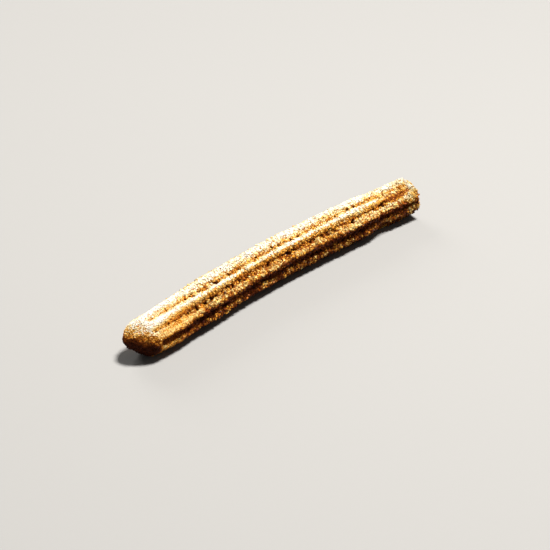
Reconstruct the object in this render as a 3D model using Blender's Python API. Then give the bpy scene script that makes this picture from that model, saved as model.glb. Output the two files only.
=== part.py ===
"""A long churro lying on a table: one solid bar of fried dough with eight ridges.

The bar lies along X and bows sideways towards +Y. Its -X end is a slanted, rounded stub that
reaches furthest at the top and back and where the grooves close. Its +X end is cut off blunt,
after a slight neck. It rests on the plane z = 0 on a narrow flat foot that its own weight
presses into the lowest ridge. The origin is the middle of the bounding box, at the bottom.
Units are metres and degrees.

Angles round the bar start at the front (-Y) and rise over the top: 0 is the front, 90 the
top, 180 the back and -90 the bottom. Distances along the bar start at its -X end.
"""

import math

import bmesh
import bpy
from mathutils import Vector

NAME = "churro"

# Driving sizes
LENGTH = 0.2564  # of the middle line
CREST_RADIUS = 0.0137
RIDGES = 8
GROOVE_DEPTH = 0.225  # of the crest radius
GROOVE_ROUNDING = 0.14  # how blunt the bottom of a groove is, 0 for a sharp V
REST_HEIGHT = 0.0123  # of the middle line over the table, a little under the lowest ridge

# How the bar lies
CREST_ANGLE = 18.0  # of the ridge that faces the front
TWIST = 6.0  # gained by the ridges from end to end
LEAN = 16.0  # by which the ridges over the front one lean down towards it
LEAN_MIDDLE = 62.0  # from the front ridge's crest
LEAN_SPREAD = 28.0
LEAN_LOST_FIRST = 0.70  # share of the lean lost at the slanted end
LEAN_FIRST_START = 0.020
LEAN_FIRST_END = 0.075
LEAN_LOST_LAST = 0.35  # share of it lost towards the blunt end
LEAN_LAST_START = 0.140
LEAN_LAST_END = 0.190
DROOP = 5.0  # by which the front ridge's upper side sags
DROOP_MIDDLE = 11.0
DROOP_SPREAD = 18.0
FAR_LEAN = 12.0  # by which the groove over the front ridge climbs at the blunt end
FAR_LEAN_MIDDLE = 16.0
FAR_LEAN_SPREAD = 20.0
FAR_LEAN_START = 0.056  # from the end
BOW = 0.0079  # how far the middle stands back from the line of the ends
SWAY = -0.00045  # slow wander of the middle line, sideways
SWAY_WAVES = 1.7

# Slanted end, at -X
STUB_LENGTH = 0.0155  # that its rounding takes
STUB_SQUARENESS = 2.0  # power of the rounding on its soft side, 2 for a round nose
STUB_CRISPNESS = 0.9  # more of it on the opposite side
STUB_SLANT = 0.0092  # by which its long side reaches past its short side
STUB_LONG_ANGLE = 128.0  # of its long side
STUB_SLANT_REACH = 0.040  # over which the slant dies away
STUB_SOFT_SHARE = 0.27  # by which the rounding is longer on its soft side, and shorter opposite
STUB_SOFT_ANGLE = 110.0
STUB_TAPER = 0.17  # by which the bar is thinner at this end
STUB_TAPER_REACH = 0.036
STUB_DRIFT = 0.0022  # of the middle line towards the back
STUB_GROOVES_START = 0.0092  # where the grooves begin, closed by a rounded rim
STUB_GROOVES_FULL = 0.0165
LONG_GROOVE_EXTRA = 0.0030  # by which the groove above the front ridge reaches further
LONG_GROOVE_ANGLE = 40.0
LONG_GROOVE_SPREAD = 24.0
SCOOP_DEPTH = 0.0030  # of the hollow under the stub's tip
SCOOP_ANGLE = -92.0
SCOOP_SPREAD = 50.0
SCOOP_FROM_END = 0.0030
SCOOP_REACH = 0.0052

# Blunt end, at +X
BLUNT_LENGTH = 0.0040
BLUNT_SQUARENESS = 3.8
BLUNT_FADE = 0.012  # over which the grooves grow shallower towards the end
BLUNT_GROOVES = 0.2  # share of their depth that the grooves keep at the end
NECK_SHARE = 0.095  # by which the bar is thinner at this end
NECK_START = 0.048  # from the end
NECK_END = 0.030
PINCHED_RIDGE = 1  # the one over the front ridge, which dies out before this end
PINCH_SHARE = 0.85  # of its height that it loses
PINCH_START = 0.036  # from the end
PINCH_END = 0.024

# Unevenness of the dough
SWELL_SHARE = 0.008  # of the crest radius, all round
SWELL_WAVES = 4.3
RIDGE_SHARE = 0.06  # of a groove's depth, different for each ridge
RIDGE_WAVES = 3.0
RIDGE_WAVES_STEP = 0.4  # more waves on each next ridge
GOLDEN_TURN = 360.0 * (3.0 - math.sqrt(5.0)) / 2.0
DENT_DEPTH = 0.0014  # of a smooth dent low on the front, towards the blunt end
DENT_ANGLE = -29.0
DENT_SPREAD = 26.0
DENT_PLACE = 0.2225
DENT_REACH = 0.0065

# Mesh
STEPS_PER_RIDGE = 8
STUB_RINGS = 14
BODY_RINGS = 51
BLUNT_RINGS = 7
RINGS = STUB_RINGS + BODY_RINGS + BLUNT_RINGS
CROWDING = 0.5  # by which the body's rings stand closer at its ends

CRUST_COLOUR = (0.52, 0.26, 0.09, 1.0)
CRUST_ROUGHNESS = 0.85


def clear_scene():
    """Removes every object, so that only the churro is in the scene."""
    for thing in list(bpy.data.objects):
        bpy.data.objects.remove(thing, do_unlink=True)


def smooth_step(value, low, high):
    """0 up to low, 1 from high on, and a smooth rise between them."""
    share = min(max((value - low) / (high - low), 0.0), 1.0)
    return share * share * (3.0 - 2.0 * share)


def turn_between(angle, other):
    """How far two angles are apart, from -180 to 180."""
    return (angle - other + 180.0) % 360.0 - 180.0


def bump(offset, reach):
    """A bell of height 1 that has fallen to a third at reach."""
    return math.exp(-((offset / reach) ** 2))


def fade_out(distance, reach):
    """1 at the slanted end, falling smoothly to 0 at reach."""
    return max(1.0 - distance / reach, 0.0) ** 2


def crest_radius(distance):
    """Radius over the ridges at a distance along the bar."""
    swell = 1.0 + SWELL_SHARE * math.sin(math.tau * SWELL_WAVES * distance / LENGTH)
    neck = 1.0 - NECK_SHARE * smooth_step(distance, LENGTH - NECK_START, LENGTH - NECK_END)
    taper = 1.0 - STUB_TAPER * fade_out(distance, STUB_TAPER_REACH)
    return CREST_RADIUS * swell * neck * taper


def groove_depth(distance, angle):
    """Depth of the grooves at a place on the bar, as a share of the radius."""
    extra = LONG_GROOVE_EXTRA * bump(turn_between(angle, LONG_GROOVE_ANGLE), LONG_GROOVE_SPREAD)
    opened = smooth_step(distance + extra, STUB_GROOVES_START, STUB_GROOVES_FULL)
    closed = smooth_step(distance, LENGTH - BLUNT_FADE, LENGTH)
    return GROOVE_DEPTH * opened * (1.0 - (1.0 - BLUNT_GROOVES) * closed)


def ridge_height(distance, from_crest):
    """Height over the groove's bottom, 1 on a crest, from the angle to the first ridge."""
    wave = math.cos(math.radians(RIDGES * from_crest / 2.0))
    blunt = math.sqrt(wave * wave + GROOVE_ROUNDING**2) - GROOVE_ROUNDING
    lobe = blunt / (math.sqrt(1.0 + GROOVE_ROUNDING**2) - GROOVE_ROUNDING)
    ridge = round(from_crest * RIDGES / 360.0) % RIDGES
    waves = RIDGE_WAVES + RIDGE_WAVES_STEP * ridge
    phase = math.radians(GOLDEN_TURN * ridge) + math.tau * waves * distance / LENGTH
    if ridge == PINCHED_RIDGE:
        lobe *= 1.0 - PINCH_SHARE * smooth_step(distance, LENGTH - PINCH_START, LENGTH - PINCH_END)
    return lobe * (1.0 + RIDGE_SHARE * math.sin(phase))


def surface_radius(distance, from_crest, angle):
    """Radius of the bar before its ends are rounded."""
    depth = groove_depth(distance, angle)
    radius = crest_radius(distance)
    radius *= 1.0 - depth + depth * ridge_height(distance, from_crest)
    dent = bump(distance - DENT_PLACE, DENT_REACH)
    radius -= DENT_DEPTH * dent * bump(turn_between(angle, DENT_ANGLE), DENT_SPREAD)
    scoop = bump(distance - SCOOP_FROM_END, SCOOP_REACH)
    radius -= SCOOP_DEPTH * scoop * bump(turn_between(angle, SCOOP_ANGLE), SCOOP_SPREAD)
    return radius


def rounded(out, squareness):
    """(how far in, share of the radius) on a rounded end, for out from 0 at its middle to 1."""
    power = 2.0 / squareness
    turn = math.pi / 2.0 * out
    return 1.0 - max(math.cos(turn), 0.0) ** power, math.sin(turn) ** power


def ring_place(ring, from_crest):
    """(distance along the bar, share of the full radius) of a point of a ring of the mesh."""
    if ring <= STUB_RINGS:
        soft_side = math.cos(math.radians(CREST_ANGLE + from_crest - STUB_SOFT_ANGLE))
        squareness = STUB_SQUARENESS + STUB_CRISPNESS * (1.0 - soft_side) / 2.0
        depth, share = rounded(ring / STUB_RINGS, squareness)
        return STUB_LENGTH * depth, share
    if ring <= STUB_RINGS + BODY_RINGS:
        even = (ring - STUB_RINGS) / BODY_RINGS
        along = (1.0 - CROWDING) * even + CROWDING * (1.0 - math.cos(math.pi * even)) / 2.0
        return STUB_LENGTH + (LENGTH - STUB_LENGTH - BLUNT_LENGTH) * along, 1.0
    depth, share = rounded((RINGS - ring) / BLUNT_RINGS, BLUNT_SQUARENESS)
    return LENGTH - BLUNT_LENGTH * depth, share


def middle_line(distance):
    """(y, slope of y) of the bar's middle line at a distance along the bar."""
    along = 2.0 * distance / LENGTH - 1.0
    y = BOW * (1.0 - along * along)
    y += SWAY * math.sin(math.tau * SWAY_WAVES * distance / LENGTH)
    y += STUB_DRIFT * fade_out(distance, STUB_TAPER_REACH)
    return y, -4.0 * BOW * along / LENGTH


def stub_shift(distance, angle):
    """How far the slanted end moves a point of its rim along the bar."""
    long_side = math.cos(math.radians(angle - STUB_LONG_ANGLE))
    soft_side = math.cos(math.radians(angle - STUB_SOFT_ANGLE))
    rounding = STUB_SOFT_SHARE * min(distance, STUB_LENGTH)
    return rounding * soft_side - STUB_SLANT / 2.0 * long_side


def angle_at(distance, from_crest):
    """Angle round the bar, from the angle to the first ridge on an even, straight bar."""
    lean = LEAN * bump(turn_between(from_crest, LEAN_MIDDLE), LEAN_SPREAD)
    lean *= (1.0 - LEAN_LOST_FIRST * (1.0 - smooth_step(distance, LEAN_FIRST_START, LEAN_FIRST_END))
             - LEAN_LOST_LAST * smooth_step(distance, LEAN_LAST_START, LEAN_LAST_END))
    lean += DROOP * bump(turn_between(from_crest, DROOP_MIDDLE), DROOP_SPREAD)
    climb = FAR_LEAN * smooth_step(distance, LENGTH - FAR_LEAN_START, LENGTH)
    climb *= bump(turn_between(from_crest, FAR_LEAN_MIDDLE), FAR_LEAN_SPREAD)
    return CREST_ANGLE + from_crest - lean + climb + TWIST * (distance / LENGTH) ** 2


def surface_point(ring, from_crest):
    """A point of the surface, from its ring and its angle to the first ridge."""
    distance, share = ring_place(ring, from_crest)
    angle = angle_at(distance, from_crest)
    radius = share * surface_radius(distance, from_crest, angle)
    x = distance + share * fade_out(distance, STUB_SLANT_REACH) * stub_shift(distance, angle)
    y, slope = middle_line(distance)
    across = Vector((-slope, 1.0)).normalized() * -radius * math.cos(math.radians(angle))
    height = REST_HEIGHT + radius * math.sin(math.radians(angle))
    return Vector((x + across.x, y + across.y, max(height, 0.0)))


def shape_bar(bm):
    """Turns a ball, whose poles are the bar's two ends, into the churro."""
    steps = RIDGES * STEPS_PER_RIDGE
    bmesh.ops.create_uvsphere(bm, u_segments=steps, v_segments=RINGS, radius=1.0)
    for vertex in bm.verts:
        polar = math.acos(max(min(vertex.co.z, 1.0), -1.0))
        from_crest = math.degrees(math.atan2(vertex.co.y, vertex.co.x))
        vertex.co = surface_point(round(polar / math.pi * RINGS), from_crest)
    bm.normal_update()
    bmesh.ops.recalc_face_normals(bm, faces=bm.faces)


def centre_on_base(bm):
    """Moves the mesh so that the middle of its bounding box is over the origin."""
    step = Vector((0.0, 0.0, 0.0))
    for axis in (0, 1):
        places = [vertex.co[axis] for vertex in bm.verts]
        step[axis] = -(min(places) + max(places)) / 2.0
    bmesh.ops.translate(bm, verts=bm.verts, vec=step)


def crust_material():
    """Golden brown fried dough."""
    material = bpy.data.materials.new("fried_crust")
    material.use_nodes = True
    shader = material.node_tree.nodes["Principled BSDF"]
    shader.inputs["Base Color"].default_value = CRUST_COLOUR
    shader.inputs["Roughness"].default_value = CRUST_ROUGHNESS
    shader.inputs["Metallic"].default_value = 0.0
    material.diffuse_color = CRUST_COLOUR
    return material


def build_churro():
    """Makes the churro's object in a collection of its own."""
    bm = bmesh.new()
    shape_bar(bm)
    centre_on_base(bm)
    mesh = bpy.data.meshes.new(NAME)
    bm.to_mesh(mesh)
    bm.free()
    mesh.shade_smooth()
    mesh.materials.append(crust_material())
    churro = bpy.data.objects.new(NAME, mesh)
    collection = bpy.data.collections.new(NAME)
    bpy.context.scene.collection.children.link(collection)
    collection.objects.link(churro)
    return churro


clear_scene()
build_churro()
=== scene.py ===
"""A churro: a long ridged bar of fried dough in a crust of cinnamon sugar.

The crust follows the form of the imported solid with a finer, crumbly surface. Grains of sugar and
cinnamon are scattered over it as small crystals, one joined mesh for each kind.
"""

import logging
import math
from dataclasses import dataclass, field
from enum import Enum

import bmesh
import bpy
import numpy as np
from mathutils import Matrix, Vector, noise


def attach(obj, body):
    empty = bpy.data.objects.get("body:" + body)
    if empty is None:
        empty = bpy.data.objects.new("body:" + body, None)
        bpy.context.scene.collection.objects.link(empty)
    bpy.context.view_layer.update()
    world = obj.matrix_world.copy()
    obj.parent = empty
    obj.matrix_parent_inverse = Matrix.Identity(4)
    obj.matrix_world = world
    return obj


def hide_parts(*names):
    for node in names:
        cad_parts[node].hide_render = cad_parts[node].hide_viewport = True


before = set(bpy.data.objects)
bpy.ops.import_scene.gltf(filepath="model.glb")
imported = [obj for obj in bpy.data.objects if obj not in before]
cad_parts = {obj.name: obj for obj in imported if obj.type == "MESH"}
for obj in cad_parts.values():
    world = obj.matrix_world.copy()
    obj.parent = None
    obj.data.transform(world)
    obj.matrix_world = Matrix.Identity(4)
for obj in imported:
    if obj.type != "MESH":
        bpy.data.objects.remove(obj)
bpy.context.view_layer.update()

LOG = logging.getLogger("churro")
NODE = "churro"
BODY = "root"
UV_MAP = "OFBake"
# How brown the dough is at each point, with painted shade added.
TOAST_AND_SHADE = "toast_and_shade"
MM = 0.001

Array = np.ndarray
Notes = dict[str, np.ndarray]  # by name, one value for each place
Colour = tuple[float, float, float]


def turn_between(angle: Array, other: Array | float) -> Array:
    """Says how far angles are from others, from -180 to 180 degrees."""
    return (angle - other + 180.0) % 360.0 - 180.0


def bump(offset: Array, reach: float) -> Array:
    """Gives a bell of height 1 that has fallen to a third at reach from its middle."""
    return np.exp(-((offset / reach) ** 2))


def fade_out(distance: Array, reach: float) -> Array:
    """Gives 1 at the slanted end, falling smoothly to 0 at reach from it."""
    return np.maximum(1.0 - distance / reach, 0.0) ** 2


def noise_at(places: Array, size: float, seed: float) -> Array:
    """Reads smooth noise from about -1 to 1, in lumps of a size and shifted by a seed."""
    scaled = places / size + seed
    return np.array([noise.noise(Vector(row)) for row in scaled])


@dataclass(frozen=True)
class Rise:
    """A smooth rise from 0 to 1 between two values."""

    start: Array | float
    end: Array | float

    def of(self, value: Array) -> Array:
        """Gives the rise's height at each value."""
        share = np.clip((value - self.start) / (self.end - self.start), 0.0, 1.0)
        return share * share * (3.0 - 2.0 * share)

    def before(self, place: float) -> "Rise":
        """Gives the same rise, with its start and end measured back from a place."""
        return Rise(place - self.start, place - self.end)


@dataclass(frozen=True)
class Spot:
    """A soft spot on the bar, in metres along it and degrees round it."""

    place: float
    reach: float
    angle: float
    spread: float

    def of(self, distance: Array, angle: Array) -> Array:
        """Gives 1 in the spot's middle and 0 away from it, at each distance and angle."""
        along = bump(distance - self.place, self.reach)
        return along * bump(turn_between(angle, self.angle), self.spread)


@dataclass(frozen=True)
class Band:
    """A stretch of the bar with soft ends and sides, in metres along it and degrees round it."""

    begins: Rise
    ends: Rise
    angle: float
    spread: float

    def of(self, distance: Array, angle: Array) -> Array:
        """Gives 1 in the band's middle and 0 away from it, at each distance and angle."""
        along = self.begins.of(distance) * (1.0 - self.ends.of(distance))
        return along * bump(turn_between(angle, self.angle), self.spread)


@dataclass(frozen=True)
class BarShape:
    """The fried bar's form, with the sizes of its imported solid, in metres and degrees.

    Angles round the bar start at the front (-Y) and rise over the top. Distances along it start
    at its slanted end, but those of the blunt_fade, neck, pinch and climb at its blunt end.
    """

    length: float = 0.2564
    crest_radius: float = 0.0137
    ridges: int = 8
    groove_depth: float = 0.225
    groove_rounding: float = 0.14
    rest_height: float = 0.0123
    crest_angle: float = 18.0
    twist: float = 6.0
    lean: float = 16.0
    lean_middle: float = 62.0
    lean_spread: float = 28.0
    lean_near_loss: float = 0.70
    lean_near: Rise = Rise(0.020, 0.075)
    lean_far_loss: float = 0.35
    lean_far: Rise = Rise(0.140, 0.190)
    droop: float = 5.0
    droop_middle: float = 11.0
    droop_spread: float = 18.0
    far_lean: float = 12.0
    far_lean_middle: float = 16.0
    far_lean_spread: float = 20.0
    climb: Rise = Rise(0.056, 0.0)
    bow: float = 0.0079
    sway: float = -0.00045
    sway_waves: float = 1.7
    stub_length: float = 0.0155
    stub_squareness: float = 2.0
    stub_crispness: float = 0.9
    stub_slant: float = 0.0092
    stub_long_angle: float = 128.0
    stub_slant_reach: float = 0.040
    stub_soft_share: float = 0.27
    stub_soft_angle: float = 110.0
    stub_taper: float = 0.17
    stub_taper_reach: float = 0.036
    stub_drift: float = 0.0022
    stub_grooves: Rise = Rise(0.0092, 0.0165)
    long_groove_extra: float = 0.0030
    long_groove_angle: float = 40.0
    long_groove_spread: float = 24.0
    scoop_depth: float = 0.0030
    scoop_angle: float = -92.0
    scoop_spread: float = 50.0
    scoop_from_end: float = 0.0030
    scoop_reach: float = 0.0052
    blunt_length: float = 0.0040
    blunt_squareness: float = 3.8
    blunt_fade: Rise = Rise(0.012, 0.0)
    blunt_grooves: float = 0.2
    neck_share: float = 0.095
    neck: Rise = Rise(0.048, 0.030)
    pinched_ridge: int = 1
    pinch_share: float = 0.85
    pinch: Rise = Rise(0.036, 0.024)
    swell_share: float = 0.008
    swell_waves: float = 4.3
    ridge_share: float = 0.06
    ridge_waves: float = 3.0
    ridge_waves_step: float = 0.4
    dent: Spot = Spot(0.2225, 0.0065, -29.0, 26.0)  # smooth and bare, low on the front
    dent_depth: float = 0.0014
    golden_turn: float = 360.0 * (3.0 - math.sqrt(5.0)) / 2.0

    def groove_share(self, distance: Array, angle: Array) -> Array:
        """Gives the depth of the grooves as a share of the radius.

        Args:
            distance: Distance along the bar.
            angle: Angle round the bar.

        Returns:
            The share at each place.
        """
        near_long = bump(turn_between(angle, self.long_groove_angle), self.long_groove_spread)
        begun = distance + self.long_groove_extra * near_long
        opened = self.stub_grooves.of(begun)
        closed = self.blunt_fade.before(self.length).of(distance)
        return self.groove_depth * opened * (1.0 - (1.0 - self.blunt_grooves) * closed)

    def ridge_height(self, distance: Array, from_crest: Array) -> Array:
        """Gives the height over a groove's bottom, about 1 on a crest.

        Args:
            distance: Distance along the bar.
            from_crest: Angle from the front ridge's crest.

        Returns:
            The height at each place.
        """
        wave = np.cos(np.radians(self.ridges * from_crest / 2.0))
        blunt = np.sqrt(wave * wave + self.groove_rounding**2) - self.groove_rounding
        lobe = blunt / (math.sqrt(1.0 + self.groove_rounding**2) - self.groove_rounding)
        ridge = np.round(from_crest * self.ridges / 360.0) % self.ridges
        pinch = self.pinch.before(self.length).of(distance)
        lobe = lobe * (1.0 - self.pinch_share * pinch * (ridge == self.pinched_ridge))
        waves = self.ridge_waves + self.ridge_waves_step * ridge
        phase = np.radians(self.golden_turn * ridge) + math.tau * waves * distance / self.length
        return lobe * (1.0 + self.ridge_share * np.sin(phase))

    def radius(self, distance: Array, from_crest: Array, angle: Array) -> Array:
        """Gives the radius before the ends are rounded.

        Args:
            distance: Distance along the bar.
            from_crest: Angle from the front ridge's crest.
            angle: Angle round the bar.

        Returns:
            The radius at each place.
        """
        waved = np.sin(math.tau * self.swell_waves * distance / self.length)
        swell = 1.0 + self.swell_share * waved
        neck = 1.0 - self.neck_share * self.neck.before(self.length).of(distance)
        taper = 1.0 - self.stub_taper * fade_out(distance, self.stub_taper_reach)
        radius = self.crest_radius * swell * neck * taper
        depth = self.groove_share(distance, angle)
        radius = radius * (1.0 - depth + depth * self.ridge_height(distance, from_crest))
        radius -= self.dent_depth * self.dent.of(distance, angle)
        scoop = bump(distance - self.scoop_from_end, self.scoop_reach)
        under = bump(turn_between(angle, self.scoop_angle), self.scoop_spread)
        return radius - self.scoop_depth * scoop * under

    def groove(self, distance: Array, from_crest: Array, angle: Array) -> Array:
        """Gives 1 in an open groove's bottom, and 0 on a crest or where the grooves are closed."""
        opened = self.groove_share(distance, angle) / self.groove_depth
        return opened * np.clip(1.0 - self.ridge_height(distance, from_crest), 0.0, 1.0)

    def middle_line(self, distance: Array) -> tuple[Array, Array]:
        """Gives the bar's middle line.

        Args:
            distance: Distance along the bar.

        Returns:
            y, and the slope of y, at each distance.
        """
        along = 2.0 * distance / self.length - 1.0
        y = self.bow * (1.0 - along * along)
        y += self.sway * np.sin(math.tau * self.sway_waves * distance / self.length)
        y += self.stub_drift * fade_out(distance, self.stub_taper_reach)
        return y, -4.0 * self.bow * along / self.length

    def stub_place(self, out: Array, from_crest: Array) -> tuple[Array, Array]:
        """Places points on the slanted end's rounding.

        Args:
            out: 0 at the tip, 1 where the rounding ends.
            from_crest: Angle from the front ridge's crest.

        Returns:
            Distance along the bar, and share of the full radius.
        """
        soft_side = np.cos(np.radians(self.crest_angle + from_crest - self.stub_soft_angle))
        squareness = self.stub_squareness + self.stub_crispness * (1.0 - soft_side) / 2.0
        depth, share = self.rounded(out, squareness)
        return self.stub_length * depth, share

    def blunt_place(self, out: Array) -> tuple[Array, Array]:
        """Places points on the blunt end's rounding, as stub_place does on the other's."""
        depth, share = self.rounded(out, self.blunt_squareness)
        return self.length - self.blunt_length * depth, share

    @staticmethod
    def rounded(out: Array, squareness: Array | float) -> tuple[Array, Array]:
        """Follows a rounded end from its middle outwards.

        Args:
            out: 0 at the middle, 1 where the rounding ends.
            squareness: Power of the rounding, 2 for a round nose.

        Returns:
            How far in from the end, and share of the radius.
        """
        power = 2.0 / squareness
        turn = math.pi / 2.0 * out
        return 1.0 - np.maximum(np.cos(turn), 0.0) ** power, np.sin(turn) ** power

    def angle_at(self, distance: Array, from_crest: Array) -> Array:
        """Gives the angle round the bar.

        Args:
            distance: Distance along the bar.
            from_crest: Angle from the front ridge's crest, on an even, straight bar.

        Returns:
            The angle at each place.
        """
        lean = self.lean * bump(turn_between(from_crest, self.lean_middle), self.lean_spread)
        near, far = 1.0 - self.lean_near.of(distance), self.lean_far.of(distance)
        lean = lean * (1.0 - self.lean_near_loss * near - self.lean_far_loss * far)
        lean += self.droop * bump(turn_between(from_crest, self.droop_middle), self.droop_spread)
        climb = self.far_lean * self.climb.before(self.length).of(distance)
        climb = climb * bump(turn_between(from_crest, self.far_lean_middle), self.far_lean_spread)
        twisted = self.twist * (distance / self.length) ** 2
        return self.crest_angle + from_crest - lean + climb + twisted

    def points(self, distance: Array, share: Array, from_crest: Array) -> tuple[Array, Array]:
        """Places points of the surface.

        Args:
            distance: Distance along the bar.
            share: Share of the full radius, under 1 on the rounded ends.
            from_crest: Angle from the front ridge's crest.

        Returns:
            The points, one row each, and their angles round the bar.
        """
        angle = self.angle_at(distance, from_crest)
        radius = share * self.radius(distance, from_crest, angle)
        long_side = np.cos(np.radians(angle - self.stub_long_angle))
        soft_side = np.cos(np.radians(angle - self.stub_soft_angle))
        rounding = self.stub_soft_share * np.minimum(distance, self.stub_length)
        moved = rounding * soft_side - self.stub_slant / 2.0 * long_side
        shift = share * fade_out(distance, self.stub_slant_reach) * moved
        y, slope = self.middle_line(distance)
        tilt = np.sqrt(1.0 + slope * slope)
        across = -radius * np.cos(np.radians(angle)) / tilt
        x = distance + shift - slope * across
        height = self.rest_height + radius * np.sin(np.radians(angle))
        found = np.stack([x, y + across, np.maximum(height, 0.0)], axis=1)
        return found, angle


@dataclass(frozen=True)
class CrustRelief:
    """How crumbly the fried surface is, in metres."""

    sunk: float = 0.65 * MM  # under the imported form, to leave room for the sugar
    lump_size: float = 3.4 * MM
    lump_height: float = 0.30 * MM
    lump_seed: float = 3.1
    crumb_size: float = 1.5 * MM
    crumb_height: float = 0.20 * MM
    crumb_seed: float = 11.9
    side_extra: float = 0.8  # how much more the lumps and crumbs stand out on the sides
    top: Rise = Rise(17.0 * MM, 23.0 * MM)  # heights at which the sides give way to the top
    pit_size: float = 2.8 * MM
    pit_depth: float = 1.3 * MM
    pit_seed: float = 31.7
    pit_noise: Rise = Rise(0.12, 0.30)  # noise over which a pit opens
    pit_groove: Rise = Rise(0.40, 0.75)  # how deep in a groove pits open
    pit_loss: float = 0.36  # near the ends, where the grooves are smoother
    near_end: Rise = Rise(-0.110, -0.075)
    far_end: Rise = Rise(0.095, 0.108)
    filling: float = 0.45 * MM  # of the grooves between the pits
    filled_groove: Rise = Rise(0.4, 0.9)

    def over(self, places: Array, groove: Array) -> tuple[Array, Array]:
        """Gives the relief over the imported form.

        Args:
            places: Points of the surface.
            groove: 1 in a groove's bottom, 0 on a crest.

        Returns:
            The height along the surface's normal, and 1 at the bottom of a pit, 0 outside.
        """
        at_ends = 1.0 - self.near_end.of(places[:, 0]) + self.far_end.of(places[:, 0])
        found = noise_at(places, self.pit_size, self.pit_seed) - self.pit_loss * at_ends
        pits = self.pit_noise.of(found) * self.pit_groove.of(groove)
        extra = 1.0 + self.side_extra * (1.0 - self.top.of(places[:, 2]))
        lumps = extra * self.lump_height * noise_at(places, self.lump_size, self.lump_seed)
        crumbs = extra * self.crumb_height * noise_at(places, self.crumb_size, self.crumb_seed)
        filled = self.filling * self.filled_groove.of(groove)
        return lumps + crumbs + filled - self.sunk - (self.pit_depth + filled) * pits, pits


def linked(tree: bpy.types.NodeTree, kind: str, **inputs: object) -> bpy.types.Node:
    """Adds a node and sets or links its inputs.

    Args:
        tree: The material's node tree.
        kind: The node's type.
        inputs: Each input by its name, with _ for a space, as a value or another node's socket.

    Returns:
        The new node.
    """
    node = tree.nodes.new(kind)
    for name, value in inputs.items():
        socket = node.inputs[name.replace("_", " ")]
        if isinstance(value, bpy.types.NodeSocket):
            tree.links.new(value, socket)
        else:
            socket.default_value = value
    return node


def ramp(
    tree: bpy.types.NodeTree, share: bpy.types.NodeSocket, stops: dict[float, Colour]
) -> bpy.types.NodeSocket:
    """Adds a colour ramp.

    Args:
        tree: The material's node tree.
        share: The socket that runs along the ramp.
        stops: Linear colours by their place on the ramp.

    Returns:
        The colour's socket.
    """
    node = linked(tree, "ShaderNodeValToRGB", Fac=share)
    elements = node.color_ramp.elements
    places = sorted(stops)
    while len(elements) < len(places):
        elements.new(0.5)
    for element, place in zip(elements, places):
        element.position = place
    for element, place in zip(elements, places):
        element.color = (*stops[place], 1.0)
    return node.outputs["Color"]


def new_material(name: str) -> tuple[bpy.types.Material, bpy.types.Node]:
    """Makes an empty Principled material.

    Args:
        name: The finish's name.

    Returns:
        The material and its shader node.
    """
    material = bpy.data.materials.new(name)
    material.use_nodes = True
    return material, material.node_tree.nodes["Principled BSDF"]


@dataclass(frozen=True)
class FriedDoughFinish:
    """Golden brown fried dough, darker where it is sunk or toasted, and darkened by painted shade
    too.
    """

    name: str = "fried_dough"
    stops: dict[float, Colour] = field(
        default_factory=lambda: {
            0.1875: (0.62, 0.30, 0.070),
            0.4125: (0.40, 0.150, 0.024),
            0.6375: (0.19, 0.048, 0.006),
            0.9375: (0.065, 0.012, 0.002),
        }
    )
    roughness: float = 0.72
    specular: float = 0.08
    mottle: tuple[float, float, float] = (2.6 * MM, 3.0, 0.4125)  # size, detail and weight
    grit: tuple[float, float, float] = (0.5 * MM, 2.0, 0.2625)
    noise_roughness: float = 0.6
    grit_height: float = 0.25 * MM
    grit_strength: float = 0.8

    def material(self) -> bpy.types.Material:
        """Builds the material.

        Returns:
            The finished material.
        """
        material, shader = new_material(self.name)
        tree = material.node_tree
        places = linked(tree, "ShaderNodeTexCoord").outputs["Object"]
        toast_and_shade = linked(tree, "ShaderNodeAttribute")
        toast_and_shade.attribute_name = TOAST_AND_SHADE
        browning_and_shade = toast_and_shade.outputs["Fac"]
        for size, detail, weight in (self.mottle, self.grit):
            grain = linked(tree, "ShaderNodeTexNoise", Vector=places, Detail=detail)
            grain.inputs["Scale"].default_value = 1.0 / size
            grain.inputs["Roughness"].default_value = self.noise_roughness
            mixed = tree.nodes.new("ShaderNodeMath")
            mixed.operation = "MULTIPLY_ADD"
            tree.links.new(grain.outputs["Fac"], mixed.inputs[0])
            mixed.inputs[1].default_value = weight
            tree.links.new(browning_and_shade, mixed.inputs[2])
            browning_and_shade = mixed.outputs["Value"]
        tree.links.new(ramp(tree, browning_and_shade, self.stops), shader.inputs["Base Color"])
        shader.inputs["Roughness"].default_value = self.roughness
        shader.inputs["Specular IOR Level"].default_value = self.specular
        relief = linked(tree, "ShaderNodeBump", Height=grain.outputs["Fac"])
        relief.inputs["Distance"].default_value = self.grit_height
        relief.inputs["Strength"].default_value = self.grit_strength
        tree.links.new(relief.outputs["Normal"], shader.inputs["Normal"])
        return material


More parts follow.
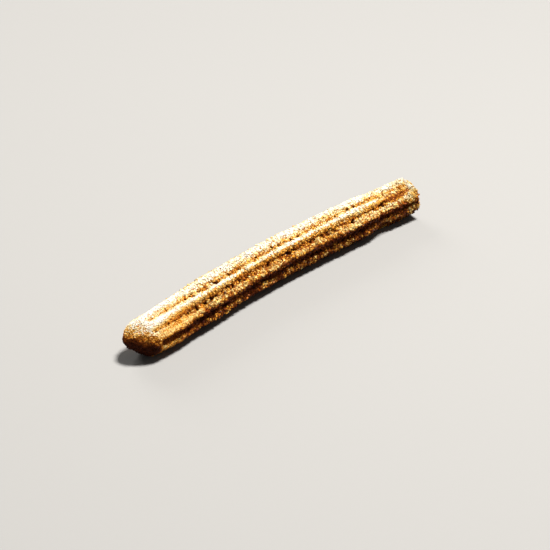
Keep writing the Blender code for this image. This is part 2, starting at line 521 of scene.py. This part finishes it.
@dataclass(frozen=True)
class SugarFinish:
    """Sugar crystals from clear white through honey to dark cinnamon, by each grain's own tint,
    with painted shade.
    """

    name: str = "cinnamon_sugar"
    roughness: float = 0.38
    specular: float = 0.08
    darkest: float = 0.16  # share of its colour that the darkest grain keeps
    stops: dict[float, Colour] = field(
        default_factory=lambda: {
            0.00: (0.96, 0.94, 0.86),
            0.12: (0.95, 0.865, 0.62),
            0.27: (0.95, 0.67, 0.24),
            0.43: (0.89, 0.43, 0.054),
            0.62: (0.58, 0.182, 0.016),
            0.80: (0.25, 0.052, 0.004),
            1.00: (0.12, 0.018, 0.002),
        }
    )

    def material(self) -> bpy.types.Material:
        """Builds the material.

        Returns:
            The finished material.
        """
        material, shader = new_material(self.name)
        tree = material.node_tree
        cell = tree.nodes.new("ShaderNodeUVMap")
        cell.uv_map = UV_MAP
        axes = linked(tree, "ShaderNodeSeparateXYZ", Vector=cell.outputs["UV"])
        tint = ramp(tree, axes.outputs["X"], self.stops)
        light = linked(tree, "ShaderNodeMapRange", Value=axes.outputs["Y"])
        light.inputs["To Min"].default_value = self.darkest
        light.inputs["To Max"].default_value = 1.0
        shaded = linked(
            tree, "ShaderNodeHueSaturation", Color=tint, Value=light.outputs["Result"]
        )
        tree.links.new(shaded.outputs["Color"], shader.inputs["Base Color"])
        shader.inputs["Roughness"].default_value = self.roughness
        shader.inputs["Specular IOR Level"].default_value = self.specular
        return material


@dataclass(frozen=True)
class Spots:
    """Spots and bands on the bar where its look changes."""

    hollow: Spot = Spot(0.2370, 0.012, 50.0, 14.0)  # brown, behind the blunt end
    near_honey: Spot = Spot(0.036, 0.013, 50.0, 12.0)  # golden, in the upper groove
    honey: Band = Band(Rise(0.075, 0.095), Rise(0.170, 0.190), 46.0, 8.0)
    crown: Spot = Spot(0.138, 0.014, 115.0, 4.0)  # on the top edge, under the large crumbs
    rim: Spot = Spot(0.0125, 0.0060, 32.0, 17.0)  # white, beside the slanted face


@dataclass(frozen=True)
class CrestSpots:
    """White spots and bands beside the front ridge's crest, by their angles over it."""

    near_frost: Spot = Spot(0.075, 0.025, 9.0, 9.0)
    frost: Band = Band(Rise(0.170, 0.195), Rise(0.242, 0.250), 9.0, 9.0)


@dataclass(frozen=True)
class Reaches:
    """Where along the bar its look changes, in metres."""

    past_stub: Rise = Rise(0.006, 0.014)
    past_near_stub: Rise = Rise(0.020, 0.060)
    far_end: Rise = Rise(0.235, 0.252)
    shaded: Rise = Rise(0.090, 0.150)  # where the underside gets the most painted shade


@dataclass(frozen=True)
class Levels:
    """How far down the bar's look changes: -1 is its top, 0 halfway and 1 its underside."""

    # Darker dough low down, partly its browning and partly painted shade.
    browning_and_shade: Rise = Rise(-0.7, 0.5)
    # Painted shade towards the lower part of the slanted end's face.
    painted_end_shade: Rise = Rise(-0.05, 0.55)
    # Browner sugar low down, partly its own colour and partly painted shade.
    low: Rise = Rise(-0.96, 0.02)
    # Painted shade towards the lower part of the slanted end's face.
    deep: Rise = Rise(-0.06, 0.40)
    under: Rise = Rise(0.1, 0.8)
    shade: Rise = Rise(-0.05, 0.35)


@dataclass(frozen=True)
class Mix:
    """A plain amount, and what each note adds to it or takes away."""

    plain: float
    shares: dict[str, float]

    def at(self, notes: Notes) -> Array:
        """Adds the mix up at each place."""
        return sum((share * notes[name] for name, share in self.shares.items()), self.plain)


class Blend:
    """A sum of mixes, each over the places of the note that it is named for."""

    def at(self, notes: Notes) -> Array:
        """Adds the mixes up at each place."""
        return sum(notes[name] * mix.at(notes) for name, mix in vars(self).items())


@dataclass(frozen=True)
class Frying(Blend):
    """How brown the dough is, with painted shade, on the scale of its finish's stops and before its
    mottle.
    """

    # Darker in the grooves and low down, partly painted shade.
    everywhere: Mix = Mix(
        0.15,
        {"groove": 0.15, "pits": 0.30, "browning_and_shade": 0.225, "hollow": 0.1875, "bare": -0.2625}
        | {"patch": 0.075},
    )
    near_stub: Mix = Mix(-0.1125, {"browning_and_shade": 0.1125})
    # The slanted end's face is a little darker all over and much darker low down, as painted shade.
    stub_face: Mix = Mix(0.075, {"painted_end_shade": 0.4125})


@dataclass(frozen=True)
class Seasoning(Blend):
    """How much cinnamon colours the sugar, with painted shade, from 0 for clear sugar to 1 for dark
    cinnamon.
    """

    # Browner low down and where faces turn down, partly painted shade.
    everywhere: Mix = Mix(
        0.10,
        {"low": 0.60, "turned_down": 0.25, "turned_up": -0.20, "hollow": 0.42, "rim": -0.22}
        | {"near_honey": 0.10, "honey": 0.07, "near_frost": -0.09, "frost": -0.20}
        | {"far_rim": 0.17, "pits": 0.15},
    )
    # Browner in the grooves, partly painted shade.
    in_groove: Mix = Mix(0.18, {"low": 0.16})
    # Painted shade: browner sugar on the slanted end's face, most low down and facing the end.
    stub_face: Mix = Mix(0.08, {"end_on": 0.12, "low": 0.10, "deep": 0.95})
    beside_stub: Mix = Mix(-0.13, {"low_ridge": -0.12})
    far_end: Mix = Mix(0.04, {"low": -0.24})
    calm_patch: Mix = Mix(0.15, {"side": 0.30})
    calm_clump: Mix = Mix(0.0, {"side": 0.45})


@dataclass(frozen=True)
class Facing:
    """How a face's place and the way it faces tell what sugar it holds."""

    top: Rise = Rise(0.3, 0.9)
    turned: Rise = Rise(0.0, 0.35)  # how far a face is turned down or up from its place
    turned_up_from: Rise = Rise(-0.3, 0.15)
    end_on: Rise = Rise(0.25, 0.80)
    far_rim: Rise = Rise(0.80, 1.0)
    groove: Rise = Rise(0.35, 0.85)
    sooner: Rise = Rise(0.15, 0.25)  # how much sooner it starts and ends near the slanted end
    spared: float = 0.6  # of the white sugar near the slanted end, on its face
    calmer: float = 0.6  # near the slanted end

    def noted(self, notes: Notes, normal: Array) -> Notes:
        """Adds what the seasoning asks for to the notes of faces.

        Args:
            notes: The faces' notes.
            normal: The faces' normals.

        Returns:
            All the notes.
        """
        rise, near_stub = notes["rise"], notes["near_stub"]
        side = 1.0 - self.top.of(rise)
        start = self.groove.start - self.sooner.start * near_stub
        end = self.groove.end - self.sooner.end * near_stub
        in_groove = Rise(start, end).of(notes["groove"])
        turned_up = self.turned.of(normal[:, 2] - rise) * self.turned_up_from.of(rise)
        end_on = self.end_on.of(-normal[:, 0])
        calm = 1.0 - self.calmer * near_stub
        return notes | {
            "side": side,
            "in_groove": in_groove,
            "low_ridge": notes["low"] * (1.0 - in_groove),
            "turned_down": self.turned.of(rise - normal[:, 2]),
            "turned_up": notes["low"] * turned_up,
            "end_on": end_on,
            "beside_stub": near_stub * (1.0 - self.spared * end_on),
            "far_rim": side * self.far_rim.of(notes["far_end"]),
            "calm_patch": calm * notes["patch"],
            "calm_clump": calm * notes["clump"],
        }


@dataclass(frozen=True)
class Faces:
    """The crust's faces for scattering, one row each."""

    corners: Array
    normal: Array
    area: Array
    notes: Notes


def points_of(mesh: bpy.types.Mesh) -> Array:
    """Reads a mesh's points.

    Args:
        mesh: The mesh.

    Returns:
        The points, one row each.
    """
    found = np.empty(len(mesh.vertices) * 3, np.float32)
    mesh.vertices.foreach_get("co", found)
    return found.reshape(-1, 3).astype(float)


def move_points(mesh: bpy.types.Mesh, places: Array) -> None:
    """Moves a mesh's points to places, one row each."""
    mesh.vertices.foreach_set("co", places.astype(np.float32).ravel())
    mesh.update()


def set_out(mesh: bpy.types.Mesh, material: bpy.types.Material) -> bpy.types.Object:
    """Dresses a mesh and sets it out in the scene.

    Args:
        mesh: The mesh.
        material: Its finish.

    Returns:
        The piece, with the mesh's name.
    """
    mesh.materials.append(material)
    piece = bpy.data.objects.new(mesh.name, mesh)
    bpy.context.scene.collection.objects.link(piece)
    return piece


@dataclass
class FriedCrust:
    """The fried bar itself: its mesh, and what the grains need to know of its surface."""

    shape: BarShape = BarShape()
    relief: CrustRelief = CrustRelief()
    spots: Spots = Spots()
    crest_spots: CrestSpots = CrestSpots()
    reaches: Reaches = Reaches()
    levels: Levels = Levels()
    frying: Frying = Frying()
    facing: Facing = Facing()
    seasoning: Seasoning = Seasoning()
    finish: FriedDoughFinish = FriedDoughFinish()
    patch_size: float = 7.0 * MM
    patch_seed: float = 53.3
    clump_size: float = 2.4 * MM
    clump_seed: float = 77.9
    name: str = "crust"
    around: int = 200
    stub_rings: int = 62
    body_rings: int = 386
    blunt_rings: int = 32
    crowding: float = 0.25  # of the body's rings towards its ends
    full_share: Rise = Rise(0.8, 1.0)  # share of the radius over which the grooves start
    grid: Array = field(init=False, repr=False)  # the points by ring, with tips all round
    faces: Faces = field(init=False, repr=False)

    @property
    def rings(self) -> int:
        """Counts the rings of the mesh."""
        return self.stub_rings + self.body_rings + self.blunt_rings

    def ring_places(self, ring: Array, from_crest: Array) -> tuple[Array, Array]:
        """Places each point of the mesh's rings.

        Args:
            ring: Ring numbers, from 0 at the slanted end's tip.
            from_crest: Angle from the front ridge's crest.

        Returns:
            Distance along the bar, and share of the full radius.
        """
        shape = self.shape
        stub_end = self.stub_rings
        body_end = self.stub_rings + self.body_rings
        stub = shape.stub_place(np.clip(ring / stub_end, 0.0, 1.0), from_crest)
        blunt = shape.blunt_place(np.clip((self.rings - ring) / self.blunt_rings, 0.0, 1.0))
        even = np.clip((ring - stub_end) / self.body_rings, 0.0, 1.0)
        eased = (1.0 - self.crowding) * even + self.crowding * (1.0 - np.cos(math.pi * even)) / 2.0
        body = shape.stub_length + (shape.length - shape.stub_length - shape.blunt_length) * eased
        distance = np.where(ring <= stub_end, stub[0], np.where(ring <= body_end, body, blunt[0]))
        share = np.where(ring <= stub_end, stub[1], np.where(ring <= body_end, 1.0, blunt[1]))
        return distance, share

    def ball(self) -> tuple[bpy.types.Mesh, Array, Array]:
        """Makes the ball that is drawn out into the bar, and the grid of its points.

        Returns:
            The mesh, and each point's ring and place round the bar.
        """
        bm = bmesh.new()
        bm.loops.layers.uv.new(UV_MAP)
        bmesh.ops.create_uvsphere(
            bm, u_segments=self.around, v_segments=self.rings, radius=1.0, calc_uvs=True
        )
        mesh = bpy.data.meshes.new(self.name)
        bm.to_mesh(mesh)
        bm.free()
        x, y, z = points_of(mesh).T
        ring = np.round(np.arccos(np.clip(z, -1.0, 1.0)) / math.pi * self.rings).astype(int)
        column = np.round(np.arctan2(y, x) / math.tau * self.around).astype(int) % self.around
        column[(ring == 0) | (ring == self.rings)] = 0
        self.grid = np.zeros((self.rings + 1, self.around), int)
        self.grid[ring, column] = np.arange(len(ring))
        for tip in (0, self.rings):
            self.grid[tip] = self.grid[tip, 0]
        return mesh, ring, column

    def build(self) -> bpy.types.Object:
        """Makes the crust's object.

        Returns:
            The finished piece.
        """
        mesh, ring, column = self.ball()
        from_crest = turn_between(360.0 * column / self.around, 0.0)
        distance, share = self.ring_places(ring, from_crest)
        places, angle = self.shape.points(distance, share, from_crest)
        places[:, :2] -= (places[:, :2].min(0) + places[:, :2].max(0)) / 2.0
        normals = self.normals_of(places)
        groove = self.shape.groove(distance, from_crest, angle) * self.full_share.of(share)
        height, pits = self.relief.over(places, groove)
        places = places + normals * height[:, None]
        places[:, 2] = np.maximum(places[:, 2], 0.0)
        move_points(mesh, places)
        rise = np.sin(np.radians(angle)) * share**2 + normals[:, 2] * (1.0 - share**2)
        notes = self.note(places, distance, angle) | {"rise": rise, "groove": groove, "pits": pits}
        notes = self.levelled(notes)
        toast_and_shade = mesh.attributes.new(TOAST_AND_SHADE, "FLOAT", "POINT")
        toast_and_shade.data.foreach_set("value", self.frying.at(notes).astype(np.float32))
        mesh.shade_smooth()
        self.faces = self.faces_of(mesh, notes)
        return set_out(mesh, self.finish.material())

    def normals_of(self, places: Array) -> Array:
        """Finds the surface's normal at each point.

        Args:
            places: The mesh's points.

        Returns:
            Normals of length 1, one row each.
        """
        laid = places[self.grid]
        sideways = np.roll(laid, -1, axis=1) - np.roll(laid, 1, axis=1)
        normals = np.cross(np.gradient(laid, axis=0), sideways)
        for tip, beside in ((0, 1), (-1, -2)):
            normals[tip] = normals[beside].mean(0)
        found = np.empty_like(places)
        found[self.grid] = normals / np.linalg.norm(normals, axis=2, keepdims=True)
        return found

    def note(self, places: Array, distance: Array, angle: Array) -> Notes:
        """Notes what the dough's colour and the sugar ask of each point.

        Args:
            places: The points.
            distance: Distance along the bar.
            angle: Angle round the bar.

        Returns:
            The notes, from 0 to 1 but for the noise.
        """
        crest = self.shape.angle_at(distance, np.zeros_like(distance))
        over = turn_between(angle, crest)
        notes = {name: spot.of(distance, angle) for name, spot in vars(self.spots).items()}
        notes |= {name: spot.of(distance, over) for name, spot in vars(self.crest_spots).items()}
        notes |= {name: reach.of(distance) for name, reach in vars(self.reaches).items()}
        notes["everywhere"] = np.ones_like(distance)
        notes["stub_face"] = 1.0 - notes["past_stub"]
        notes["near_stub"] = 1.0 - notes["past_near_stub"]
        notes["bare"] = self.shape.dent.of(distance, angle)
        notes["patch"] = noise_at(places, self.patch_size, self.patch_seed)
        notes["clump"] = noise_at(places, self.clump_size, self.clump_seed)
        return notes

    def levelled(self, notes: Notes) -> Notes:
        """Adds how far down each place is to its notes."""
        return notes | {name: level.of(-notes["rise"]) for name, level in vars(self.levels).items()}

    def faces_of(self, mesh: bpy.types.Mesh, notes: Notes) -> Faces:
        """Lists the crust's faces for scattering.

        Args:
            mesh: The crust's mesh.
            notes: Its points' notes.

        Returns:
            The faces, ring by ring.
        """
        beside = np.roll(self.grid, -1, axis=1)
        ends = np.stack([self.grid[:-1], beside[:-1], beside[1:], self.grid[1:]], axis=2)
        ends = ends.reshape(-1, 4)
        corners = points_of(mesh)[ends]
        normal = np.cross(corners[:, 3] - corners[:, 1], corners[:, 2] - corners[:, 0]) / 2.0
        area = np.linalg.norm(normal, axis=1)
        normal = normal / area[:, None]
        notes = self.levelled({name: value[ends].mean(1) for name, value in notes.items()})
        # The sugar's tint at each face, painted shade included.
        spice_and_shade = self.seasoning.at(self.facing.noted(notes, normal))
        return Faces(corners, normal, area, notes | {"spice_and_shade": spice_and_shade})


class CrystalForm(Enum):
    """The solids that grains are made from."""

    CUBE = "cube"
    SPLINTER = "splinter"
    LUMP = "lump"


@dataclass(frozen=True)
class GrainKind:
    """One kind of grain: how many, how large, where and of what tint.

    Sizes are in metres. A grain's tint runs from 0, clear white, to 1, dark cinnamon: it is the
    spice and painted shade of its place, with the kind's own tint added. The shares from on_top to
    on_crown say how thickly the grains lie at each kind of place.
    """

    name: str
    doublings: int
    smallest: float
    largest: float
    tint: float
    tint_spread: float
    form: CrystalForm = CrystalForm.CUBE
    on_top: float = 1.0
    on_sides: float = 1.0
    under: float = 0.5
    in_grooves: float = 1.0
    on_end: float = 1.0
    on_crown: float = 0.0  # so large for the largest crumbs that all of them lie there
    follows: float = 1.0  # how much of its place's spice and painted shade a grain takes on
    proud: float = 0.2  # how far it stands out, as a share of its size
    seed: int = 1


@dataclass(frozen=True)
class Thickness:
    """How thickly the grains lie, besides what each kind says itself."""

    top: Rise = Rise(0.2, 0.9)
    in_pits: float = -0.8  # these say how much thicker or thinner than elsewhere
    when_bare: float = -0.92
    in_hollow: float = -0.3
    near_stub: float = 1.9
    foot: Rise = Rise(0.3 * MM, 0.9 * MM)  # heights over which the bar's foot ends

    def weights(self, kind: GrainKind, faces: Faces) -> Array:
        """Says how many of the grains lie on each face of the crust.

        Args:
            kind: The grains' kind.
            faces: The crust's faces.

        Returns:
            A share of 1 for each face.
        """
        changes = {
            "groove": kind.in_grooves - 1.0,
            "stub_face": kind.on_end - 1.0,
            "pits": self.in_pits,
            "bare": self.when_bare,
            "hollow": self.in_hollow,
            "crown": kind.on_crown,
            "near_stub": self.near_stub,
        }
        notes = faces.notes
        found = kind.on_sides + (kind.on_top - kind.on_sides) * self.top.of(notes["rise"])
        found = found + (kind.under - found) * notes["under"]
        for name, change in changes.items():
            found = found * (1.0 + change * notes[name])
        found = found * self.foot.of(faces.corners[:, :, 2].min(1)) * faces.area
        return found / found.sum()


@dataclass(frozen=True)
class GrainLook:
    """How the grains differ from one to the next, in size, stand, tint and lightness."""

    size_draw: tuple[float, float] = (1.6, 2.6)  # more small grains than large ones
    side_sizes: tuple[float, float] = (0.72, 1.15)  # of a grain's sides, as shares of its size
    finer_near_stub: float = 0.45
    jutting_spread: float = 0.15
    jutting_most: float = 1.5  # of its spread
    half: float = 0.6  # half a grain's width, as a share of its size
    top: Rise = Rise(0.3, 0.95)
    calm: float = 0.65  # how much more alike the grains are near the slanted end
    calm_top: float = 0.6  # how far that holds on the top
    light_draw: tuple[float, float] = (1.35, 0.95)  # more light grains than dark ones
    usual_light: float = 0.6
    light_tint: float = 0.12  # how much paler the lighter grains are
    dim_far_end: float = 0.25  # these say how much darker the grains are there; on the slanted end and underside, painted shade
    painted_shade_stub: float = 0.15
    dim_shaded: float = 0.38
    painted_shade_stub_under: float = 0.85
    palest: float = 0.01  # least tint
    side_palest: float = 0.25  # added to it away from the top
    side_top: Rise = Rise(0.4, 0.8)
    brownest: float = 0.99  # most tint
    darkest: float = 0.02
    light_range: float = 0.96


@dataclass
class GrainLayer:
    """Grains of one kind, scattered over the crust as one joined mesh."""

    kind: GrainKind
    crust: FriedCrust
    thickness: Thickness = Thickness()
    look: GrainLook = GrainLook()
    cube_side: float = 0.8  # these are shares of a grain's size
    splinter_length: float = 0.8
    splinter_radius: float = 0.5
    lump_radius: float = 0.45
    spacing: float = 2.0  # between the grains before they are placed
    unevenness: float = 0.22  # of a grain's corners
    cell: float = 0.0035  # width of a grain's cell on its UV map
    cell_lean: tuple[float, float] = (0.37, 0.61)  # so that upright faces have room in it too
    floor_gap: float = 0.25 * MM  # no grain reaches lower than this
    ceiling: float = 26.2 * MM  # nor much higher than this
    back: float = 16.75 * MM  # nor much further back than this
    random: np.random.Generator = field(init=False)

    def __post_init__(self) -> None:
        """Seeds the layer's own random draws."""
        self.random = np.random.default_rng(self.kind.seed)

    def cut_first(self, bm: bmesh.types.BMesh) -> None:
        """Makes the first grain, round the origin.

        Args:
            bm: The mesh it is made in.
        """
        if self.kind.form is CrystalForm.CUBE:
            bmesh.ops.create_cube(bm, size=self.cube_side)
        elif self.kind.form is CrystalForm.SPLINTER:
            radius, length = self.splinter_radius, self.splinter_length
            bmesh.ops.create_cone(
                bm, cap_ends=True, segments=3, radius1=radius, radius2=0.0, depth=length
            )
        else:
            bmesh.ops.create_icosphere(bm, subdivisions=2, radius=self.lump_radius)

    def block(self) -> bpy.types.Mesh:
        """Makes a block of grains in rows, by doubling one grain again and again.

        Returns:
            The mesh, with its grains evenly spaced along X, Y and Z.
        """
        bm = bmesh.new()
        bm.loops.layers.uv.new(UV_MAP)
        self.cut_first(bm)
        for level in range(self.kind.doublings):
            step = Vector((0.0, 0.0, 0.0))
            step[level % 3] = self.spacing * 2 ** (level // 3)
            whole = bm.verts[:] + bm.edges[:] + bm.faces[:]
            copied = bmesh.ops.duplicate(bm, geom=whole)["geom"]
            moved = [part for part in copied if isinstance(part, bmesh.types.BMVert)]
            bmesh.ops.translate(bm, verts=moved, vec=step)
        mesh = bpy.data.meshes.new(self.kind.name)
        bm.to_mesh(mesh)
        bm.free()
        return mesh

    def scatter(self) -> tuple[Array, Array, Array, Array]:
        """Chooses where each grain lies and how it looks.

        Returns:
            Places, turns, sizes, and tints with lightness, one row for each grain.
        """
        kind, look, draw = self.kind, self.look, self.random
        count = 2**kind.doublings
        faces = self.crust.faces
        weights = self.thickness.weights(kind, faces)
        chosen = draw.choice(len(weights), size=count, p=weights)
        s, t = draw.random((2, count, 1))
        corners = faces.corners[chosen]
        notes = {name: value[chosen] for name, value in faces.notes.items()}
        low = corners[:, 0] * (1.0 - s) + corners[:, 1] * s
        high = corners[:, 3] * (1.0 - s) + corners[:, 2] * s
        size = kind.smallest + (kind.largest - kind.smallest) * draw.beta(*look.size_draw, count)
        size = size * (1.0 - look.finer_near_stub * notes["near_stub"])
        jutting = np.minimum(draw.standard_normal(count), look.jutting_most)
        jutting = kind.proud + look.jutting_spread * jutting
        places = low * (1.0 - t) + high * t
        places += faces.normal[chosen] * (size * jutting)[:, None]
        half = look.half * size
        places[:, 2] = np.clip(places[:, 2], self.floor_gap + half, self.ceiling - half)
        places[:, 1] = np.minimum(places[:, 1], self.back - half)
        alike = np.maximum(notes["near_stub"], look.calm_top * look.top.of(notes["rise"]))
        varied = 1.0 - look.calm * alike
        tint = varied * (kind.tint + kind.tint_spread * draw.standard_normal(count))
        tint = tint + kind.follows * notes["spice_and_shade"]
        light = 1.0 - varied * (1.0 - draw.beta(*look.light_draw, count))
        tint = tint + look.light_tint * (look.usual_light - light)
        # Grains darker at the far end, and dimmed as painted shade on the slanted end and the
        # underside.
        stub = notes["stub_face"]
        light = light * (1.0 - look.dim_far_end * notes["far_end"]) * (1.0 - look.painted_shade_stub * stub)
        shade = np.maximum(look.dim_shaded * notes["shaded"], look.painted_shade_stub_under * stub)
        light = light * (1.0 - notes["shade"] * shade)
        palest = look.palest + look.side_palest * (1.0 - look.side_top.of(notes["rise"]))
        tint = np.clip(tint, palest, look.brownest)
        turns = self.turns(count)
        sizes = size[:, None] * draw.uniform(*look.side_sizes, (count, 3))
        light = look.darkest + look.light_range * light
        return places, turns, sizes, np.stack([tint, light], axis=1)

    def turns(self, count: int) -> Array:
        """Draws a rotation for each grain.

        Args:
            count: How many are drawn.

        Returns:
            Rotation matrices.
        """
        a, b, c, d = self.random.standard_normal((4, count))
        length = np.sqrt(a * a + b * b + c * c + d * d)
        a, b, c, d = a / length, b / length, c / length, d / length
        rows = [
            [1 - 2 * (c * c + d * d), 2 * (b * c - a * d), 2 * (b * d + a * c)],
            [2 * (b * c + a * d), 1 - 2 * (b * b + d * d), 2 * (c * d - a * b)],
            [2 * (b * d - a * c), 2 * (c * d + a * b), 1 - 2 * (b * b + c * c)],
        ]
        return np.moveaxis(np.array(rows), 2, 0)

    def build(self, material: bpy.types.Material) -> bpy.types.Object:
        """Makes the layer's object.

        Args:
            material: The grains' finish.

        Returns:
            The finished piece.
        """
        mesh = self.block()
        places, turns, sizes, looks = self.scatter()
        rows = points_of(mesh)
        cell = np.floor((rows + self.spacing / 2.0) / self.spacing)
        local = rows - cell * self.spacing
        width = 2 ** ((self.kind.doublings + 2) // 3)
        depth = 2 ** ((self.kind.doublings + 1) // 3)
        grain = (cell[:, 0] + width * (cell[:, 1] + depth * cell[:, 2])).astype(int)
        spread = self.random.uniform(-self.unevenness, self.unevenness, local.shape)
        sized = local * (1.0 + spread) * sizes[grain]
        placed = places[grain] + np.einsum("nij,nj->ni", turns[grain], sized)
        placed[:, 2] = np.maximum(placed[:, 2], self.floor_gap)
        move_points(mesh, placed)
        corner = np.empty(len(mesh.loops), np.int32)
        mesh.loops.foreach_get("vertex_index", corner)
        across = local[corner, :2] + local[corner, 2:] * np.array(self.cell_lean)
        cells = (looks[grain[corner]] + self.cell * across).astype(np.float32)
        mesh.uv_layers[UV_MAP].uv.foreach_set("vector", cells.ravel())
        mesh.shade_flat()
        return set_out(mesh, material)


SUGAR_COAT = (
    GrainKind(
        name="sugar_crystals", doublings=14, smallest=0.50 * MM,
        largest=1.50 * MM, tint=-0.03, tint_spread=0.04, on_top=2.6, on_sides=0.6, under=0.35,
        in_grooves=0.5, on_end=0.45, follows=0.90, seed=11,
    ),
    GrainKind(
        name="fine_sugar", doublings=13, smallest=0.30 * MM,
        largest=0.65 * MM, tint=-0.03, tint_spread=0.07, on_top=2.5, on_sides=0.2, under=0.1,
        in_grooves=0.4, on_end=0.3, seed=15,
    ),
    GrainKind(
        name="golden_crystals", doublings=14, smallest=0.50 * MM,
        largest=1.70 * MM, tint=0.04, tint_spread=0.12, on_top=0.7, on_sides=1.2, under=0.7,
        in_grooves=0.8, on_end=0.8, seed=12,
    ),
    GrainKind(
        name="cinnamon_crystals", doublings=13, smallest=0.40 * MM,
        largest=1.10 * MM, tint=0.21, tint_spread=0.10, on_top=0.07, on_sides=1.0, under=1.3,
        in_grooves=1.3, on_end=1.3, seed=13,
    ),
    GrainKind(
        name="cinnamon_dust", form=CrystalForm.SPLINTER, doublings=14, smallest=0.22 * MM,
        largest=0.50 * MM, tint=0.25, tint_spread=0.10, on_top=0.07, on_sides=1.0, under=1.0,
        in_grooves=1.2, on_end=1.2, seed=14,
    ),
    GrainKind(
        name="sugar_clumps", form=CrystalForm.LUMP, doublings=6, smallest=1.0 * MM,
        largest=2.0 * MM, tint=-0.02, tint_spread=0.08, on_top=1.5, on_sides=0.8, under=0.1,
        in_grooves=0.6, on_end=0.5, proud=0.3, seed=16,
    ),
    GrainKind(
        name="fried_crumbs", form=CrystalForm.LUMP, doublings=6, smallest=0.9 * MM,
        largest=2.2 * MM, tint=0.22, tint_spread=0.12, on_top=0.4, on_sides=1.0, under=0.5,
        in_grooves=1.6, on_end=1.0, proud=0.3, seed=17,
    ),
    GrainKind(
        name="stuck_crumbs", form=CrystalForm.LUMP, doublings=3, smallest=1.3 * MM,
        largest=3.0 * MM, tint=0.10, tint_spread=0.08, on_crown=1e6, proud=0.50, seed=18,
    ),
)


@dataclass(frozen=True)
class Lamp:
    """A round lamp that shines on the churro."""

    name: str
    toward: tuple[float, float, float]  # direction from the churro to the lamp
    size: float
    watts: float
    distance: float = 2.2
    colour: Colour = (1.0, 0.97, 0.92)

    def hang(self) -> None:
        """Hangs the lamp in the scene."""
        lamp = bpy.data.lights.new(self.name, "AREA")
        lamp.shape = "DISK"
        lamp.size = self.size
        lamp.energy = self.watts
        lamp.color = self.colour
        direction = Vector(self.toward).normalized()
        hung = bpy.data.objects.new(self.name, lamp)
        hung.location = direction * self.distance
        hung.rotation_euler = direction.to_track_quat("Z", "Y").to_euler()
        bpy.context.scene.collection.objects.link(hung)


@dataclass(frozen=True)
class Studio:
    """A plain pale floor, soft light from overhead, and the camera."""

    floor_radius: float = 4.0
    floor_corners: int = 96
    floor_colour: Colour = (0.28, 0.278, 0.275)
    floor_roughness: float = 0.9
    aim_height: float = 0.0135
    aim_right: float = 0.00104
    aim_down: float = 0.00779
    azimuth: float = -48.95
    elevation: float = 28.6
    camera_distance: float = 1.4
    camera_reach: float = 20.0
    lens: float = 149.37
    sensor: float = 36.0
    key: Lamp = Lamp("key", (0.22, -0.15, 0.96), 0.55, 120.0)
    back: Lamp = Lamp("back", (0.30, 0.85, 0.42), 1.2, 24.0)
    fill_colour: Colour = (1.0, 0.96, 0.91)
    fill_strength: float = 0.14

    def lay_floor(self) -> None:
        """Lays the floor under the churro."""
        bm = bmesh.new()
        bmesh.ops.create_circle(
            bm, cap_ends=True, segments=self.floor_corners, radius=self.floor_radius
        )
        mesh = bpy.data.meshes.new("floor")
        bm.to_mesh(mesh)
        bm.free()
        material, shader = new_material("floor")
        shader.inputs["Base Color"].default_value = (*self.floor_colour, 1.0)
        shader.inputs["Roughness"].default_value = self.floor_roughness
        floor = set_out(mesh, material)

    def hang_lights(self) -> None:
        """Hangs the lamps and sets the soft light all round."""
        self.key.hang()
        self.back.hang()
        world = bpy.data.worlds.new("studio")
        world.use_nodes = True
        sky = world.node_tree.nodes["Background"]
        sky.inputs["Color"].default_value = (*self.fill_colour, 1.0)
        sky.inputs["Strength"].default_value = self.fill_strength
        bpy.context.scene.world = world

    def set_camera(self) -> None:
        """Sets the camera on the churro."""
        turn, rise = math.radians(self.azimuth), math.radians(self.elevation)
        level = math.cos(rise)
        back = Vector((math.sin(turn) * level, -math.cos(turn) * level, math.sin(rise)))
        right = Vector((math.cos(turn), math.sin(turn), 0.0))
        up = back.cross(right)
        aim = Vector((0.0, 0.0, self.aim_height)) + right * self.aim_right - up * self.aim_down
        lens = bpy.data.cameras.new("camera")
        lens.lens = self.lens
        lens.sensor_width = self.sensor
        lens.clip_end = self.camera_reach
        camera = bpy.data.objects.new("camera", lens)
        camera.location = aim + back * self.camera_distance
        camera.rotation_euler = back.to_track_quat("Z", "Y").to_euler()
        bpy.context.scene.collection.objects.link(camera)
        bpy.context.scene.camera = camera
        bpy.context.scene.view_settings.view_transform = "Standard"


def report(piece: bpy.types.Object) -> None:
    """Says what a piece is made of."""
    piece.data.calc_loop_triangles()
    LOG.info("%s: %d triangles", piece.name, len(piece.data.loop_triangles))


def main() -> None:
    """Builds the churro, its sugar and the studio."""
    logging.basicConfig(level=logging.INFO, format="%(message)s")
    crust = FriedCrust()
    bar = crust.build()
    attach(bar, BODY)
    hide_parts(NODE)
    report(bar)
    sugar = SugarFinish().material()
    for kind in SUGAR_COAT:
        grains = GrainLayer(kind, crust).build(sugar)
        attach(grains, BODY)
        report(grains)
    studio = Studio()
    studio.lay_floor()
    studio.hang_lights()
    studio.set_camera()


if __name__ == "__main__":
    main()
